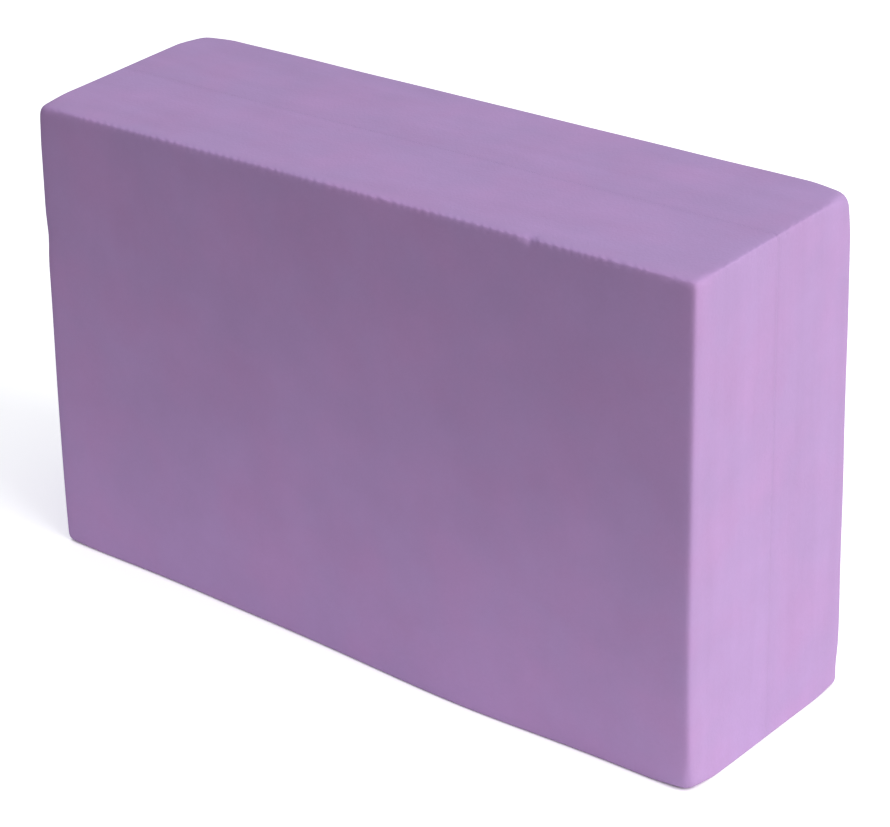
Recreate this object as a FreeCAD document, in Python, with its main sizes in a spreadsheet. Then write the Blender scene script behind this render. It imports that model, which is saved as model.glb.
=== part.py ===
import FreeCAD, Part
import math
import os
import Sketcher

# Foam yoga block standing on a long narrow side. Two slabs of EVA foam are bonded face to face by a
# thin adhesive film, and the film's rim is the hairline seam round the block.
# X runs along the length, Y through the thickness with the front slab at negative Y, and Z is up.
# The origin is the centre of the face that the block stands on. Lengths are in millimetres.

doc = FreeCAD.newDocument("YogaBlock")

DRIVING_DIMENSIONS = (
    # Cut to length and height through both slabs at once
    ("block_length", 230.0),
    ("block_height", 150.0),
    # Two slabs and the film between them make a block 75 mm thick
    ("slab_thickness", 37.35),
    ("bond_thickness", 0.3),
    # Every edge is eased with this radius
    ("edge_radius", 2.0),
    # The eight corners are softer than the edges. A corner begins to open this deep below a broad
    # face and has its full radius at that face.
    ("corner_reach", 12.0),
    ("corner_radius", 6.0),
)
sheet = doc.addObject("Spreadsheet::Sheet", "dims")
for row, (alias, value) in enumerate(DRIVING_DIMENSIONS, start=1):
    sheet.set(f"A{row}", alias)
    sheet.set(f"B{row}", str(value))
    sheet.setAlias(f"B{row}", alias)
doc.recompute()

# Depths below a broad face, as shares of corner_reach, where a slab has an outline of its own
CORNER_DEPTH_SHARES = (1, 0.6, 0.3, 0)
QUARTER_TURN = math.pi / 2
HALF_TURN_DEGREES = 180


def add_outline(body, name, depth, corner_share=0):
    """A rounded rectangle, block_length by block_height, that stands on Z = 0.

    depth is the expression for the distance of its plane towards negative Y. Its corner radius goes
    from edge_radius at a corner_share of 0 to corner_radius at 1.
    """
    outline = body.newObject("Sketcher::SketchObject", name)
    upright_plane = next(
        plane for plane in body.Origin.OriginFeatures if plane.Role == "XZ_Plane"
    )
    outline.AttachmentSupport = (upright_plane, "")
    outline.MapMode = "FlatFace"
    outline.setExpression("AttachmentOffset.Base.z", depth)

    right = sheet.get("block_length") / 2
    top = sheet.get("block_height")
    edge_radius = sheet.get("edge_radius")
    radius = edge_radius + corner_share * (sheet.get("corner_radius") - edge_radius)
    right_centre = right - radius
    top_centre = top - radius

    def side(start, end):
        return outline.addGeometry(
            Part.LineSegment(FreeCAD.Vector(*start, 0), FreeCAD.Vector(*end, 0))
        )

    def round_corner(across, up, turns):
        circle = Part.Circle(FreeCAD.Vector(across, up, 0), FreeCAD.Vector(0, 0, 1), radius)
        start = turns * QUARTER_TURN
        return outline.addGeometry(Part.ArcOfCircle(circle, start, start + QUARTER_TURN))

    # Counter-clockwise from the bottom side, each piece starting where the one before it ends
    bottom = side((-right_centre, 0), (right_centre, 0))
    first_corner = round_corner(right_centre, radius, 3)
    right_side = side((right, radius), (right, top_centre))
    second_corner = round_corner(right_centre, top_centre, 0)
    upper = side((right_centre, top), (-right_centre, top))
    third_corner = round_corner(-right_centre, top_centre, 1)
    left_side = side((-right, top_centre), (-right, radius))
    fourth_corner = round_corner(-right_centre, radius, 2)
    chain = [
        bottom, first_corner, right_side, second_corner, upper, third_corner, left_side, fourth_corner
    ]

    start_point, end_point = 1, 2
    across_axis, up_axis = -1, -2
    for piece, following in zip(chain, chain[1:] + chain[:1]):
        outline.addConstraint(
            Sketcher.Constraint("Tangent", piece, end_point, following, start_point)
        )
    for corner in (second_corner, third_corner, fourth_corner):
        outline.addConstraint(Sketcher.Constraint("Equal", first_corner, corner))
    outline.addConstraint(Sketcher.Constraint("Vertical", right_side))
    outline.addConstraint(Sketcher.Constraint("Vertical", left_side))
    outline.addConstraint(Sketcher.Constraint("Horizontal", upper))
    # The bottom side is level because its two ends mirror each other about the upright axis
    outline.addConstraint(Sketcher.Constraint("PointOnObject", bottom, start_point, across_axis))
    outline.addConstraint(
        Sketcher.Constraint("Symmetric", bottom, start_point, bottom, end_point, up_axis)
    )

    def drive(constraint, constraint_name, expression):
        outline.renameConstraint(outline.addConstraint(constraint), constraint_name)
        outline.setExpression(f"Constraints.{constraint_name}", expression)

    drive(
        Sketcher.Constraint("DistanceX", left_side, end_point, right_side, start_point, 2 * right),
        "outline_length",
        "dims.block_length",
    )
    drive(
        Sketcher.Constraint("DistanceY", bottom, start_point, upper, start_point, top),
        "outline_height",
        "dims.block_height",
    )
    drive(
        Sketcher.Constraint("Radius", first_corner, radius),
        "outline_corner",
        f"dims.edge_radius + {corner_share} * (dims.corner_radius - dims.edge_radius)",
    )
    return outline


def rim_edges(shape):
    """Names of the edges round the slab's broad face, which lies furthest towards negative Y."""
    broad_face = min(shape.Faces, key=lambda face: face.BoundBox.YMax)
    return [
        f"Edge{number}"
        for number, edge in enumerate(shape.Edges, start=1)
        if any(edge.isSame(rim_edge) for rim_edge in broad_face.Edges)
    ]


def add_slab(name):
    """A foam slab with its bonded face half a film from Y = 0 and its broad face towards negative Y.

    One outline is carried straight from the bond to where the corners begin. From there its corners
    open with the square of the way to the broad face, so that they leave the edges without a kink,
    and the rim of the broad face is eased at the end.
    """
    body = doc.addObject("PartDesign::Body", name)
    body.Label = name
    bond_depth = "dims.bond_thickness / 2"
    broad_depth = f"{bond_depth} + dims.slab_thickness"
    bonded_outline = add_outline(body, f"{name}_bonded_outline", bond_depth)
    corner_outlines = [
        add_outline(
            body,
            f"{name}_corner_outline",
            f"{broad_depth} - {depth_share} * dims.corner_reach",
            corner_share=(1 - depth_share) ** 2,
        )
        for depth_share in CORNER_DEPTH_SHARES
    ]
    doc.recompute()

    soft_slab = body.newObject("PartDesign::AdditiveLoft", f"{name}_soft_corners")
    soft_slab.Profile = bonded_outline
    soft_slab.Sections = corner_outlines
    soft_slab.Ruled = True
    soft_slab.Refine = True
    doc.recompute()

    eased_rim = body.newObject("PartDesign::Fillet", f"{name}_eased_rim")
    eased_rim.Base = (soft_slab, rim_edges(soft_slab.Shape))
    eased_rim.setExpression("Radius", "dims.edge_radius")
    body.Tip = eased_rim
    return body


def add_bond_film(name):
    """The adhesive film, half of it to each side of Y = 0, trimmed flush with the slabs."""
    body = doc.addObject("PartDesign::Body", name)
    body.Label = name
    outline = add_outline(body, f"{name}_outline", "dims.bond_thickness / 2")
    doc.recompute()
    film = body.newObject("PartDesign::Pad", f"{name}_layer")
    film.Profile = outline
    film.Reversed = True
    film.setExpression("Length", "dims.bond_thickness")
    body.Tip = film
    return body


front_slab = add_slab("front_slab")
bond_film = add_bond_film("bond_film")
# The rear slab is the same piece, turned half a turn about the upright axis
rear_slab = add_slab("rear_slab")
rear_slab.Placement = FreeCAD.Placement(
    FreeCAD.Vector(), FreeCAD.Rotation(FreeCAD.Vector(0, 0, 1), HALF_TURN_DEGREES)
)
doc.recompute()

sub_parts = (front_slab, bond_film, rear_slab)
for item in doc.Objects:
    if "Invalid" in item.State or "Error" in item.State:
        raise RuntimeError(f"{item.Label} failed to build: {item.State}")
for sub_part in sub_parts:
    if sub_part.Shape.isNull() or not sub_part.Shape.isValid():
        raise RuntimeError(f"{sub_part.Label} has no valid shape")

os.makedirs("parts", exist_ok=True)
for sub_part in sub_parts:
    sub_part.Shape.exportStep(f"parts/{sub_part.Label}.step")
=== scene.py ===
import bpy
import numpy as np
from mathutils import Matrix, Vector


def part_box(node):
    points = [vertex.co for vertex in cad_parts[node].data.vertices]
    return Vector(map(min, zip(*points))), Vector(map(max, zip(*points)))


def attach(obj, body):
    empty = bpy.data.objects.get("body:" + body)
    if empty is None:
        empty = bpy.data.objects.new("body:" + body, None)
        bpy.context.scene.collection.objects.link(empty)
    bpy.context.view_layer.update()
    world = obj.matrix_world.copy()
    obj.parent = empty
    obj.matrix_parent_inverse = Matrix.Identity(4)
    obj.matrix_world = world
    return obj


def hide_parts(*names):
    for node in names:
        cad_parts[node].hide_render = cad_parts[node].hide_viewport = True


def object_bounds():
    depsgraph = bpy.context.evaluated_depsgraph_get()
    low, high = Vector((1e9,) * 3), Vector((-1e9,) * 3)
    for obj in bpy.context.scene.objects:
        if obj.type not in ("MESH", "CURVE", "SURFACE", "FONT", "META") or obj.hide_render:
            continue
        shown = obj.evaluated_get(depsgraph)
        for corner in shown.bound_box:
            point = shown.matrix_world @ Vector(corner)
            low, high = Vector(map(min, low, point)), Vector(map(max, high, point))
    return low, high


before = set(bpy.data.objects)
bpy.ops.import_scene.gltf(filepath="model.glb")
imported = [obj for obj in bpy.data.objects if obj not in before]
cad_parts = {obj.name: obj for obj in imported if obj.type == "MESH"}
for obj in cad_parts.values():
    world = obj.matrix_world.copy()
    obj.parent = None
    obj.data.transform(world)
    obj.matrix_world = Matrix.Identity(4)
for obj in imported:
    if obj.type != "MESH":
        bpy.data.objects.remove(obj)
cad_low, cad_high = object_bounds()

# Front slab
# The half of the block that faces the viewer, a slab of closed-cell EVA foam. Two such slabs were
# bonded face to face and then cut to size together, so their edges and corners line up. The cut
# left the block slightly out of true, and handling has rounded each corner differently.
MM = 0.001
block_low = np.array(cad_low)
block_high = np.array(cad_high)
block_middle = (block_low + block_high) / 2
block_half = (block_high - block_low) / 2

# By the axis that an edge runs along: its radius. The higher the power, the more a point takes the
# radius of its nearest edge alone.
EDGE_RADII = np.array((1.2, 0.7, 1.8)) * MM
NEAREST_EDGE_POWER = 8
# A corner starts to soften this far from its tip
CORNER_REACH = 14 * MM
# By the corner's side in X, Y and Z: its radius, and how far its tip is out of true
CORNERS = {
    (-1, -1, -1): (2.1 * MM, (-3.75 * MM, -0.05 * MM, 0)),
    (-1, -1, 1): (2.7 * MM, (1.7 * MM, -0.2 * MM, -2.9 * MM)),
    (-1, 1, -1): (4.0 * MM, (-2.4 * MM, 0.3 * MM, 0)),
    (-1, 1, 1): (4.4 * MM, (-0.65 * MM, -1.0 * MM, -2.05 * MM)),
    (1, -1, -1): (3.4 * MM, (0.3 * MM, 0.7 * MM, 0)),
    (1, -1, 1): (2.0 * MM, (-0.4 * MM, -0.1 * MM, 0.95 * MM)),
    (1, 1, -1): (1.8 * MM, (3.75 * MM, -0.8 * MM, 0)),
    (1, 1, 1): (3.9 * MM, (-0.5 * MM, -0.35 * MM, 0.15 * MM)),
}
# The front face's foot wanders along the length, and is true again at this height. Its setback is a
# sum of cosines, none to six half waves over the length, with these depths.
FOOT_HEIGHT = 60 * MM
FOOT_WAVES = np.array((0.60, 0.44, 0.67, -0.81, 0.06, 0, -0.18)) * MM
# The knife's chatter along the top's front and right edges. Its teeth wander by this many radians
# over the longer length. On a point's way to the faces they rise, and towards a corner they fade.
CHATTER_DEPTH = 0.15 * MM
CHATTER_LENGTH = 2.7 * MM
CHATTER_WANDER = 2.2
CHATTER_WANDER_LENGTH = 13.5 * MM
CHATTER_RISE = (0.85, 0.95)
CHATTER_FADE = (0.6, 0.9)
# The foam's slow unevenness
UNEVEN_DEPTH = 0.1 * MM
UNEVEN_LENGTH = 40 * MM
# By place: the radius and depth of a dent. There is a nick in the top's front edge, a knock in the
# front left upright edge, and a bruise in the back right upright edge just above the base.
DENTS = {
    (64 * MM, -37.5 * MM, 150 * MM): (2 * MM, 0.55 * MM),
    (-115 * MM, -37.5 * MM, 107.5 * MM): (5.5 * MM, 0.3 * MM),
    (115 * MM, 37.5 * MM, 4 * MM): (7 * MM, 0.45 * MM),
}
# The higher this power, the nearer to the base the dents and the unevenness still press upwards
BASE_POWER = 8
# The bonded face's rim is rubbed round, which makes the seam a fine groove, and the glue has soaked
# into the foam beside it
SEAM_RIM_RADIUS = 0.03 * MM
GLUE_SOAK = 1.6 * MM
# Steps of the slab's grid away from its edges. Those along the length are short, for the chatter.
ACROSS_STEP = 0.7 * MM
THROUGH_STEP = 0.8 * MM
UP_STEP = 3.5 * MM


def graded(low, high, reach_low, reach_high, coarse, steps=16, growth=1.8):
    """Coordinates from low to high: coarse even steps inside, finer towards each end.

    The distance from an end is its reach times a share to the power of growth, where the share
    runs from 0 to 1 in even steps.
    """
    shares = np.arange(steps) / steps
    start = low + reach_low * shares ** growth
    end = high - reach_high * shares ** growth
    inner_low, inner_high = low + reach_low, high - reach_high
    inner = np.linspace(inner_low, inner_high, int(np.ceil((inner_high - inner_low) / coarse)) + 1)
    return np.concatenate((start, inner, end[::-1]))


def shell_lattice(across, through, up):
    """Points and four-sided faces of a closed box whose six sides are grids of two coordinates each.

    A point on a shared edge is numbered once, so the shell has no seam, and each face runs
    counter-clockwise seen from outside.
    """
    counts = (len(across), len(through), len(up))
    place = np.indices(counts)
    last = np.array(counts).reshape(3, 1, 1, 1) - 1
    on_shell = ((place == 0) | (place == last)).any(axis=0)
    number = np.full(counts, -1)
    number[on_shell] = np.arange(on_shell.sum())
    across_at, through_at, up_at = (axis_place[on_shell] for axis_place in place)
    points = np.stack((across[across_at], through[through_at], up[up_at]), axis=1)
    outward_sides = (
        number[-1], number[0].T, number[:, 0], number[:, -1].T, number[:, :, -1], number[:, :, 0].T
    )
    faces = [
        np.stack((side[:-1, :-1], side[1:, :-1], side[1:, 1:], side[:-1, 1:]), axis=-1).reshape(-1, 4)
        for side in outward_sides
    ]
    return points, np.concatenate(faces)


def ripple(points, wavelength, seed, waves=28):
    """An uneven field of spread 1: cosine waves of one length, in directions drawn from a seed, summed."""
    draw = np.random.default_rng(seed)
    directions = draw.normal(size=(3, waves))
    directions /= np.linalg.norm(directions, axis=0)
    starts = draw.uniform(0, 2 * np.pi, waves)
    phases = points @ directions * (2 * np.pi / wavelength) + starts
    return np.cos(phases).sum(axis=1) / np.sqrt(waves / 2)


def inward(field):
    """A field of spread 1 as a share from -1, deepest, to 0, so that a dent never stands proud."""
    limit = 1.5
    return (np.clip(field, -limit, limit) - limit) / (2 * limit)


def blunting(radius, axes):
    """Inverse exponent of the superellipsoid cut back as far as a round of that radius.

    Where that many axes meet, a round corner lies radius * (sqrt(axes) - 1) below the sharp one, and
    a superellipsoid corner of inverse exponent e lies reach * sqrt(axes) * (1 - axes ** -e) below it.
    """
    share_left = 1 - radius / CORNER_REACH * (1 - 1 / np.sqrt(axes))
    return -np.log(share_left) / np.log(axes)


def soft_block(points):
    """Points on the sharp box, and on planes inside it, moved to the worn block's form.

    On each axis a point's way runs from 0, at the reach's start, to 1, on the face. The ways are
    divided by their superellipsoid norm, whose inverse exponent goes from the edge's to the
    corner's with the product of the eased ways. The corners' errors are blended over the block.
    Chatter, unevenness and dents, which are bell curves, are pressed in, but not up into the base.
    """
    from_middle = points - block_middle
    side = np.where(from_middle < 0, -1, 1)
    depth = np.abs(from_middle)
    core = block_half - CORNER_REACH
    way = np.clip((depth - core) / CORNER_REACH, 0, 1)
    corner_radius = np.zeros(len(points))
    out_of_true = np.zeros_like(points)
    for corner, (radius, error) in CORNERS.items():
        corner_radius[(side == corner).all(axis=1)] = radius
        weight = ((1 + corner * from_middle / block_half) / 2).prod(axis=1, keepdims=True)
        out_of_true += weight * np.array(error)
    along = (points[:, 0] - block_low[0]) / (block_high[0] - block_low[0])
    setback = np.cos(np.pi * np.outer(along, np.arange(len(FOOT_WAVES)))) @ FOOT_WAVES
    foot_share = np.clip(1 - points[:, 2] / FOOT_HEIGHT, 0, 1) ** 2
    out_of_true[:, 1] += setback * foot_share * np.clip(-from_middle[:, 1] / block_half[1], 0, 1)

    # Eased ways level off at the faces, so that no crease follows an edge into a corner. The tiny
    # number keeps points far from every edge from being divided by nothing.
    tiny = 1e-12
    eased = way ** 2 * (3 - 2 * way)
    near_edge = (eased[:, [1, 2, 0]] * eased[:, [2, 0, 1]]) ** NEAREST_EDGE_POWER + tiny
    edge_blunting = blunting(near_edge @ EDGE_RADII / near_edge.sum(axis=1), 2)
    corner_share = eased.prod(axis=1)
    blunt = edge_blunting + (blunting(corner_radius, 3) - edge_blunting) * corner_share
    largest = np.maximum(way.max(axis=1), tiny)
    exponent = 1 / blunt[:, None]
    norm = ((way / largest[:, None]) ** exponent).sum(axis=1) ** blunt
    way = way / np.maximum(norm, 1)[:, None]

    near_top = np.where(side[:, 2] > 0, np.interp(way[:, 2], CHATTER_RISE, (0, 1)), 0)
    front_way = np.where(side[:, 1] < 0, way[:, 1], 0)
    right_way = np.where(side[:, 0] > 0, way[:, 0], 0)
    near_side = np.interp(np.maximum(front_way, right_way), CHATTER_RISE, (0, 1))
    near_corner = np.interp(way[:, :2].min(axis=1), CHATTER_FADE, (0, 1))
    chatter_share = near_top * near_side * (1 - near_corner)
    along_edges = 2 * np.pi * (points[:, 0] + points[:, 1]) / CHATTER_LENGTH
    teeth = np.cos(along_edges + CHATTER_WANDER * ripple(points, CHATTER_WANDER_LENGTH, seed=3))
    pressed = CHATTER_DEPTH * chatter_share * (teeth - 1) / 2
    pressed += UNEVEN_DEPTH * inward(ripple(points, UNEVEN_LENGTH, seed=5))
    for place, (dent_radius, dent_depth) in DENTS.items():
        pressed -= dent_depth * np.exp(-((points - place) ** 2).sum(axis=1) / dent_radius ** 2)
    press_share = np.ones_like(points)
    press_share[:, 2] = np.where(side[:, 2] < 0, 1 - way[:, 2] ** BASE_POWER, 1)
    way = way * (1 + press_share * pressed[:, None] / CORNER_REACH)
    return block_middle + side * (np.minimum(depth, core) + CORNER_REACH * way) + out_of_true


def draw_in(form, distance):
    """A form drawn in towards the block's middle in X and Z, by the distance where it is widest."""
    middle, half = block_middle[[0, 2]], block_half[[0, 2]]
    drawn = form.copy()
    drawn[:, [0, 2]] = middle + (form[:, [0, 2]] - middle) * (half - distance[:, None]) / half
    return drawn


def new_piece(name, points, faces, **marks):
    """A smooth mesh object at the origin, with marks such as where glue soaked in kept as attributes."""
    mesh = bpy.data.meshes.new(name)
    mesh.from_pydata(points, [], faces)
    mesh.shade_smooth()
    for mark, values in marks.items():
        mesh.attributes.new(mark, "FLOAT", "POINT").data.foreach_set("value", values)
    piece = bpy.data.objects.new(name, mesh)
    bpy.context.scene.collection.objects.link(piece)
    return piece


across = graded(block_low[0], block_high[0], CORNER_REACH, CORNER_REACH, ACROSS_STEP)
up = graded(block_low[2], block_high[2], CORNER_REACH, CORNER_REACH, UP_STEP)


def foam_slab(name, node):
    """A slab between its node's bonded face and broad face, with the block's form.

    Towards the bonded face its outline is drawn in by a quarter circle of the seam rim's radius, and
    the soaked mark falls from 1 on that face to 0.
    """
    low, high = (np.array(corner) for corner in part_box(node))
    faces_front = low[1] < -high[1]
    bonded_y = high[1] if faces_front else low[1]
    broad_y = low[1] if faces_front else high[1]
    rim_reach = 20 * SEAM_RIM_RADIUS
    from_bond = graded(0, abs(broad_y - bonded_y), rim_reach, CORNER_REACH, THROUGH_STEP)
    through = np.sort(bonded_y + np.sign(broad_y - bonded_y) * from_bond)
    points, faces = shell_lattice(across, through, up)
    off_bond = np.abs(points[:, 1] - bonded_y)
    off_rim = 1 - np.clip(off_bond / SEAM_RIM_RADIUS, 0, 1)
    rubbed = draw_in(soft_block(points), SEAM_RIM_RADIUS * (1 - np.sqrt(1 - off_rim ** 2)))
    return new_piece(name, rubbed, faces, soaked=np.clip(1 - off_bond / GLUE_SOAK, 0, 1))


def node_group(name, inputs, outputs):
    """A shader node group with float, vector or colour sockets, and its two end nodes."""
    group = bpy.data.node_groups.new(name, "ShaderNodeTree")
    for direction, sockets in (("INPUT", inputs), ("OUTPUT", outputs)):
        for socket_name, kind, value in sockets:
            socket = group.interface.new_socket(socket_name, in_out=direction, socket_type=kind)
            if value is not None:
                socket.default_value = value
    return group, group.nodes.new("NodeGroupInput"), group.nodes.new("NodeGroupOutput")


def add(tree, kind, values=(), links=(), **settings):
    """A new node with its settings, input values and incoming links."""
    node = tree.nodes.new(kind)
    for setting, value in settings.items():
        setattr(node, setting, value)
    for socket, value in dict(values).items():
        node.inputs[socket].default_value = value
    for socket, source in dict(links).items():
        tree.links.new(source, node.inputs[socket])
    return node


# Closed cells of the foam: a fine pebbled skin of domes with open pits among them
cells, cells_in, cells_out = node_group(
    "closed_cells",
    [("Vector", "NodeSocketVector", None), ("Cells per metre", "NodeSocketFloat", 1100)],
    [("Height", "NodeSocketFloat", None), ("Speckle", "NodeSocketFloat", None)],
)
domes = add(
    cells, "ShaderNodeTexVoronoi", {"Smoothness": 0.4},
    {"Vector": cells_in.outputs["Vector"], "Scale": cells_in.outputs["Cells per metre"]},
    feature="SMOOTH_F1",
)
pits = add(
    cells, "ShaderNodeTexNoise", {"Detail": 3, "Roughness": 0.6},
    {"Vector": cells_in.outputs["Vector"], "Scale": cells_in.outputs["Cells per metre"]},
)
skin = add(
    cells, "ShaderNodeMath", {1: 0.6},
    {0: domes.outputs["Distance"], 2: pits.outputs["Fac"]}, operation="MULTIPLY_ADD",
)
cells.links.new(skin.outputs[0], cells_out.inputs["Height"])
cells.links.new(pits.outputs["Fac"], cells_out.inputs["Speckle"])

# Uneven tone: soft patches, stretched or not by the scale that each use gives them
patches, patches_in, patches_out = node_group(
    "uneven_tone",
    [
        ("Vector", "NodeSocketVector", None),
        ("Patches per metre", "NodeSocketVector", (40, 40, 40)),
        ("Detail", "NodeSocketFloat", 2),
    ],
    [("Tone", "NodeSocketFloat", None)],
)
stretched = add(
    patches, "ShaderNodeVectorMath", (),
    {0: patches_in.outputs["Vector"], 1: patches_in.outputs["Patches per metre"]}, operation="MULTIPLY",
)
cloud = add(
    patches, "ShaderNodeTexNoise", {"Scale": 1, "Roughness": 0.55},
    {"Vector": stretched.outputs[0], "Detail": patches_in.outputs["Detail"]},
)
patches.links.new(cloud.outputs["Fac"], patches_out.inputs["Tone"])


def uneven(tree, place, per_metre, detail):
    """The uneven tone with so many patches per metre along X, Y and Z."""
    sizes = {"Patches per metre": per_metre, "Detail": detail}
    return add(tree, "ShaderNodeGroup", sizes, {"Vector": place}, node_tree=patches).outputs["Tone"]


def mixed(tree, share, base, other, blend="MIX"):
    """A colour mixed from base towards other by a share. Each is a value or a node's output."""
    mix = tree.nodes.new("ShaderNodeMix")
    mix.data_type = "RGBA"
    mix.blend_type = blend
    colour_a, colour_b = mix.inputs[6], mix.inputs[7]
    for socket, value in ((mix.inputs[0], share), (colour_a, base), (colour_b, other)):
        if isinstance(value, bpy.types.NodeSocket):
            tree.links.new(value, socket)
        else:
            socket.default_value = value
    return mix.outputs[2]


def spread(tree, value, low, high, to_low, to_high):
    """A value mapped from one range to another, and held at its ends."""
    return add(
        tree, "ShaderNodeMapRange",
        {"From Min": low, "From Max": high, "To Min": to_low, "To Max": to_high}, {"Value": value},
    ).outputs["Result"]


def new_material(name):
    """A material made of nodes, with its tree and its shader."""
    material = bpy.data.materials.new(name)
    material.use_nodes = True
    return material, material.node_tree, material.node_tree.nodes["Principled BSDF"]


# Most of a tone lies in this range
TONE_RANGE = (0.3, 0.7)
# Patches per metre along X, Y and Z, of which the layers lie along the sheet, and how far each kind
# of patch lightens and darkens the foam. The clouds turn it pink instead, from a tone at their rim
# to one at their heart, and by this share at most.
FOAM_LILAC = (0.447, 0.287, 0.570)
FOAM_PINK = (0.478, 0.278, 0.560)
FOAM_ROUGHNESS = (0.82, 0.92)
CLOUDS_PER_METRE = (45, 45, 45)
CLOUD_RANGE = (0.4, 0.66)
CLOUD_SHARE = 0.65
SHADES_PER_METRE = (61, 61, 61)
SHADE_STRENGTH = 0.025
LAYERS_PER_METRE = (24, 130, 10)
LAYER_STRENGTH = 0.032
SPECKLE_STRENGTH = 0.012
# Where glue soaked in, the foam is this much of its brightness
SOAKED_BRIGHTNESS = 0.965


def foam_material(name, brightness):
    """Matt lilac foam: pink clouds, soft shades, faint layers along the sheet, and speckle."""
    material, tree, shader = new_material(name)
    place = tree.nodes.new("ShaderNodeTexCoord").outputs["Object"]
    clouds = uneven(tree, place, CLOUDS_PER_METRE, detail=4)
    shades = uneven(tree, place, SHADES_PER_METRE, detail=4)
    layers = uneven(tree, place, LAYERS_PER_METRE, detail=4)
    skin = add(tree, "ShaderNodeGroup", (), {"Vector": place}, node_tree=cells)

    base = (*(channel * brightness for channel in FOAM_LILAC), 1)
    colour = mixed(tree, spread(tree, clouds, *CLOUD_RANGE, 0, CLOUD_SHARE), base, (*FOAM_PINK, 1))
    tones = (
        (shades, SHADE_STRENGTH), (layers, LAYER_STRENGTH), (skin.outputs["Speckle"], SPECKLE_STRENGTH)
    )
    for tone, strength in tones:
        lightening = spread(tree, tone, *TONE_RANGE, 1 - strength, 1 + strength)
        colour = mixed(tree, 1, colour, lightening, "MULTIPLY")
    soaked = add(tree, "ShaderNodeAttribute", attribute_name="soaked").outputs["Fac"]
    patchy = spread(tree, clouds, 0.4, 0.6, 0.4, 1)
    soak = add(tree, "ShaderNodeMath", (), {0: soaked, 1: patchy}, operation="MULTIPLY").outputs[0]
    colour = mixed(tree, 1, colour, spread(tree, soak, 0, 1, 1, SOAKED_BRIGHTNESS), "MULTIPLY")
    tree.links.new(colour, shader.inputs["Base Color"])

    roughness = spread(tree, clouds, *TONE_RANGE, *FOAM_ROUGHNESS)
    tree.links.new(roughness, shader.inputs["Roughness"])
    shader.inputs["Specular IOR Level"].default_value = 0.25
    shader.inputs["Sheen Weight"].default_value = 0.08
    shader.inputs["Sheen Roughness"].default_value = 0.6
    bump = add(
        tree, "ShaderNodeBump", {"Strength": 0.18, "Distance": 0.3 * MM}, {"Height": skin.outputs["Height"]}
    )
    tree.links.new(bump.outputs["Normal"], shader.inputs["Normal"])
    return material


front_piece = foam_slab("front_foam_slab", "front_slab")
front_piece.data.materials.append(foam_material("front_foam", brightness=1))
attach(front_piece, "root")
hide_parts("front_slab")

# Bond film
# The adhesive that joins the slabs, rolled on as a thin film before they were pressed together. It
# was cut with them, and its rim sits a little below the foam in the seam's groove.
FILM_RECESS = 0.01 * MM
FILM_HOLLOW = 0.02 * MM
FILM_STEP = 4 * MM
GLUE_DARK = (0.428, 0.274, 0.540, 1)
GLUE_PALE = (0.444, 0.284, 0.560, 1)
GLUE_ROUGHNESS = (0.5, 0.7)
SMEARS_PER_METRE = (90, 90, 90)
SMEAR_RANGE = (0.35, 0.65)


def glue_film(name):
    """A thin sheet with the block's form between the slabs.

    Its outline is drawn in by the recess, and by a parabola that is the hollow deep at mid thickness.
    """
    low, high = (np.array(corner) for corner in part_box("bond_film"))
    film_across = graded(block_low[0], block_high[0], CORNER_REACH, CORNER_REACH, FILM_STEP)
    film_up = graded(block_low[2], block_high[2], CORNER_REACH, CORNER_REACH, FILM_STEP)
    points, faces = shell_lattice(film_across, np.linspace(low[1], high[1], 5), film_up)
    off_middle = 2 * points[:, 1] / (high[1] - low[1])
    recess = FILM_RECESS + FILM_HOLLOW * (1 - off_middle ** 2)
    return new_piece(name, draw_in(soft_block(points), recess), faces)


def glue_material(name):
    """Dried contact adhesive, dyed by the foam: a darker, slightly shinier lilac, smeared unevenly."""
    material, tree, shader = new_material(name)
    place = tree.nodes.new("ShaderNodeTexCoord").outputs["Object"]
    smears = uneven(tree, place, SMEARS_PER_METRE, detail=3)
    colour = mixed(tree, spread(tree, smears, *SMEAR_RANGE, 0, 1), GLUE_DARK, GLUE_PALE)
    tree.links.new(colour, shader.inputs["Base Color"])
    roughness = spread(tree, smears, *TONE_RANGE, *GLUE_ROUGHNESS)
    tree.links.new(roughness, shader.inputs["Roughness"])
    return material


film_piece = glue_film("glue_film")
film_piece.data.materials.append(glue_material("dried_adhesive"))
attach(film_piece, "root")
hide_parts("bond_film")

# Rear slab
# The other half of the block, from the same foam sheet, turned round so that its bonded face meets
# the front slab's. It comes from further along the sheet and is a touch darker.
rear_piece = foam_slab("rear_foam_slab", "rear_slab")
rear_piece.data.materials.append(foam_material("rear_foam", brightness=0.985))
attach(rear_piece, "root")
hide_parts("rear_slab")

# Studio
# A white table in a white room, lit by one large soft lamp on the right and by the room itself. The
# camera stands in front, above and to the right, as the photographer did.
TABLE_LEFT, TABLE_RIGHT = -0.9, 0.9
TABLE_FRONT, TABLE_BACK = -0.18, 0.9
TABLE_WHITE = (0.93, 0.93, 0.94, 1)
TABLE_GLOW = 0.5
GAP_REACH = 3 * MM
table_corners = [
    (TABLE_LEFT, TABLE_FRONT, 0), (TABLE_RIGHT, TABLE_FRONT, 0),
    (TABLE_RIGHT, TABLE_BACK, 0), (TABLE_LEFT, TABLE_BACK, 0),
]
floor_mesh = bpy.data.meshes.new("floor")
floor_mesh.from_pydata(table_corners, [], [(0, 1, 2, 3)])
floor = bpy.data.objects.new("floor", floor_mesh)
bpy.context.scene.collection.objects.link(floor)
floor_material, floor_tree, floor_shader = new_material("white_table")
floor_shader.inputs["Base Color"].default_value = TABLE_WHITE
floor_shader.inputs["Roughness"].default_value = 0.9
floor_shader.inputs["Emission Color"].default_value = (1, 1, 1, 1)
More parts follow.
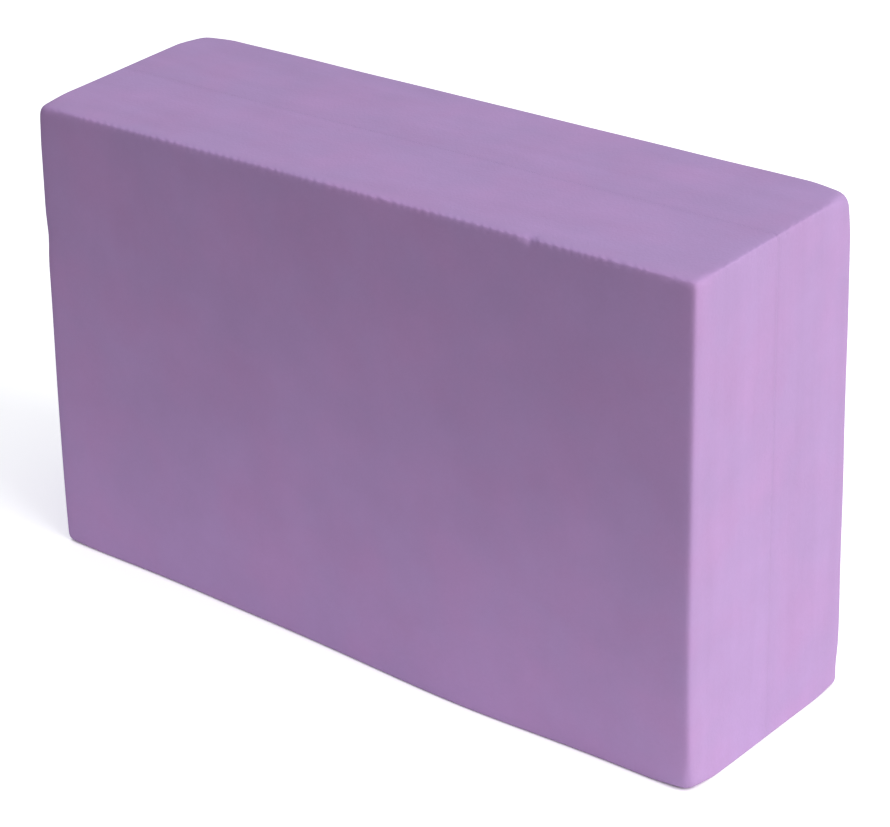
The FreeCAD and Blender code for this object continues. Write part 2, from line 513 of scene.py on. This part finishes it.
# To the camera alone the table glows a little. This is painted light that shows it nearly white and makes
# its soft shadow fainter.
# The ambient occlusion fades the glow out in the narrow gap under the block's rounded foot, which paints
# shade into that gap.
table_seen = floor_tree.nodes.new("ShaderNodeLightPath").outputs["Is Camera Ray"]
gap_shade_ao = add(floor_tree, "ShaderNodeAmbientOcclusion", {"Distance": GAP_REACH}, samples=8).outputs["AO"]
glow = add(
    floor_tree, "ShaderNodeMath", (),
    {0: table_seen, 1: spread(floor_tree, gap_shade_ao, 0.3, 0.6, 0, TABLE_GLOW)}, operation="MULTIPLY",
)
floor_tree.links.new(glow.outputs[0], floor_shader.inputs["Emission Strength"])
floor_mesh.materials.append(floor_material)

# The room's light comes in above the horizon, most of it from the right, and the room shows as plain
# white behind the block. By the axis towards each side and its sense: the light from that side.
ROOM_SIDES = (
    ("X", 1, (1.245, 1.235, 0.985)),
    ("X", -1, (0.29, 0.29, 0.32)),
    ("Y", 1, (0.44, 0.44, 0.47)),
    ("Y", -1, (0.485, 0.43, 0.46)),
    ("Z", 1, (0.035, 0.07, 0.135)),
)
world = bpy.data.worlds.new("white_room")
world.use_nodes = True
room = world.node_tree
room_light = room.nodes["Background"]
towards = room.nodes.new("ShaderNodeTexCoord").outputs["Generated"]
direction = add(room, "ShaderNodeSeparateXYZ", (), {0: towards}).outputs
light = (0, 0, 0, 1)
for axis, sense, colour in ROOM_SIDES:
    share = spread(room, direction[axis], 0, sense, 0, 1)
    from_side = mixed(room, share, (0, 0, 0, 1), (*colour, 1))
    light = mixed(room, 1, light, from_side, "ADD")
room.links.new(light, room_light.inputs["Color"])
room.links.new(spread(room, direction["Z"], -0.05, 0.05, 0, 1), room_light.inputs["Strength"])
backdrop = add(room, "ShaderNodeBackground", {"Color": (1, 1, 1, 1), "Strength": 1})
seen = room.nodes.new("ShaderNodeLightPath").outputs["Is Camera Ray"]
either = add(
    room, "ShaderNodeMixShader", (),
    {0: seen, 1: room_light.outputs[0], 2: backdrop.outputs[0]},
)
room.links.new(either.outputs[0], room.nodes["World Output"].inputs["Surface"])
bpy.context.scene.world = world
bpy.context.scene.view_settings.view_transform = "Standard"


def axes_at(location, right, top, back):
    """The matrix that stands at a place with those three axes."""
    turn = Matrix((right, top, back)).transposed().to_4x4()
    return Matrix.Translation(location) @ turn


def soft_lamp(name, azimuth, elevation, distance, size, power):
    """A square white lamp aimed at the block's middle, from an azimuth measured like the camera's."""
    around, above = np.radians((azimuth, elevation))
    back = np.array((np.sin(around) * np.cos(above), -np.cos(around) * np.cos(above), np.sin(above)))
    right = np.array((np.cos(around), np.sin(around), 0))
    data = bpy.data.lights.new(name, "AREA")
    data.size = size
    data.energy = power
    lamp = bpy.data.objects.new(name, data)
    lamp.matrix_world = axes_at(block_middle + distance * back, right, np.cross(back, right), back)
    bpy.context.scene.collection.objects.link(lamp)


soft_lamp("key_lamp", azimuth=86, elevation=40, distance=1.6, size=0.9, power=13.2)

CAMERA_PLACE = (0.431938, -0.531752, 0.416612)
CAMERA_RIGHT = (0.786034, 0.617917, -0.018134)
CAMERA_UP = (-0.269346, 0.368736, 0.889655)
CAMERA_BACK = (0.556419, -0.694415, 0.456273)
CAMERA_LENS = 107.572
CAMERA_FILM = 36
camera_data = bpy.data.cameras.new("camera")
camera_data.sensor_width = CAMERA_FILM
camera_data.lens = CAMERA_LENS
camera_data.clip_start = 0.01
camera = bpy.data.objects.new("camera", camera_data)
camera.matrix_world = axes_at(CAMERA_PLACE, CAMERA_RIGHT, CAMERA_UP, CAMERA_BACK)
bpy.context.scene.collection.objects.link(camera)
bpy.context.scene.camera = camera
